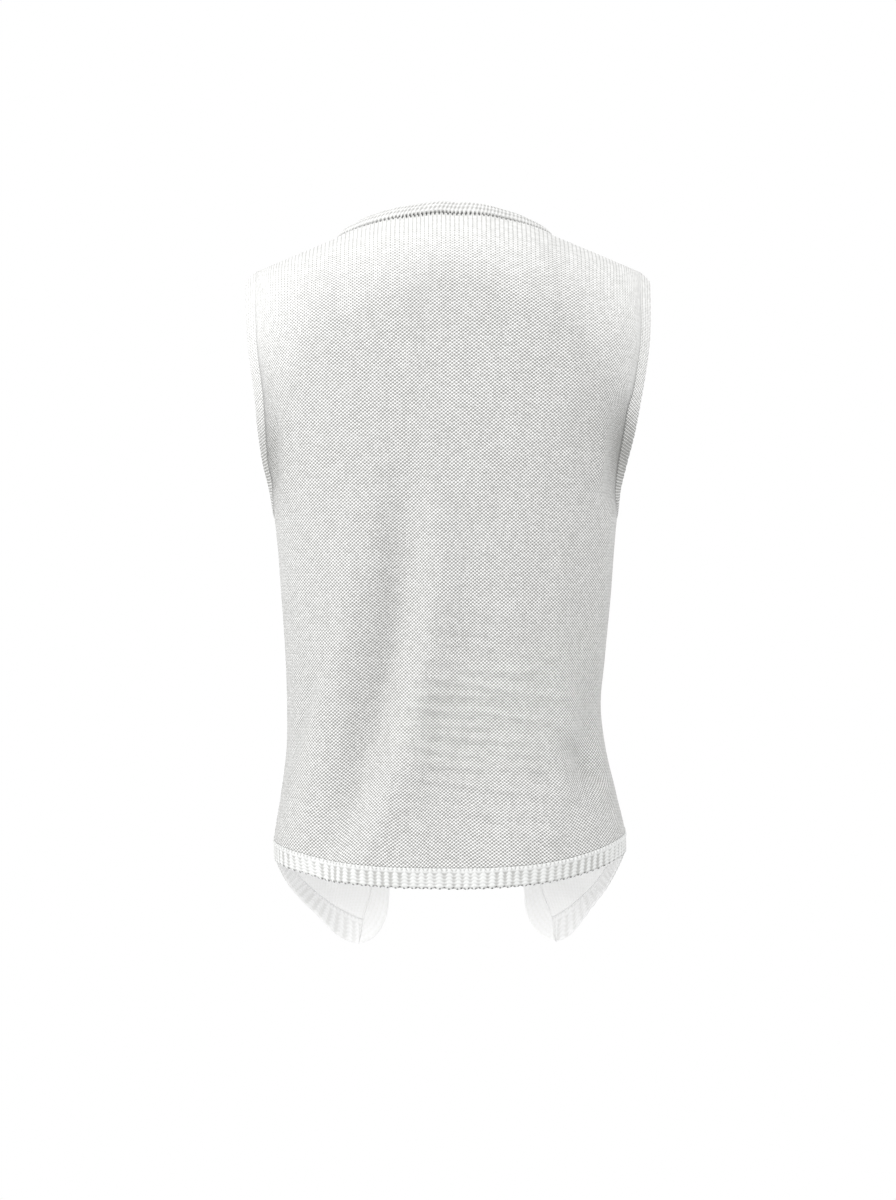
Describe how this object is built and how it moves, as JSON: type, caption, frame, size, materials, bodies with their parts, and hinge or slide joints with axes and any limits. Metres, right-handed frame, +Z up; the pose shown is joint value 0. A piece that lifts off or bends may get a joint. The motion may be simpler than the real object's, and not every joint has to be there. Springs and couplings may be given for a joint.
{
  "type": "knitted sweater vest",
  "caption": "Sleeveless open-front knitted vest with pointed fronts, ribbed hem and banded armholes, kept in its hollow worn form.",
  "frame": {"origin": "middle of the shoulder ridge between the two neck points, where the wearer's shoulders hold it", "axes": "+Z up, the back faces +Y and the open front faces -Y, the wearer's left is +X"},
  "size_m": [0.3549, 0.218, 0.6537],
  "materials": {
    "panel_knit": "matt white knit, purl side out",
    "rib_knit": "matt white 1x1 rib",
    "rolled_knit": "matt white linked band"
  },
  "bodies": {
    "root": {"back_panel": "panel_knit", "left_front": "panel_knit", "right_front": "panel_knit", "back_hem_band": "rib_knit", "left_hem_band": "rib_knit", "right_hem_band": "rib_knit", "left_front_band": "rib_knit", "right_front_band": "rib_knit", "neck_band": "rolled_knit", "left_armhole_band": "rolled_knit", "right_armhole_band": "rolled_knit"}
  },
  "joints": []
}
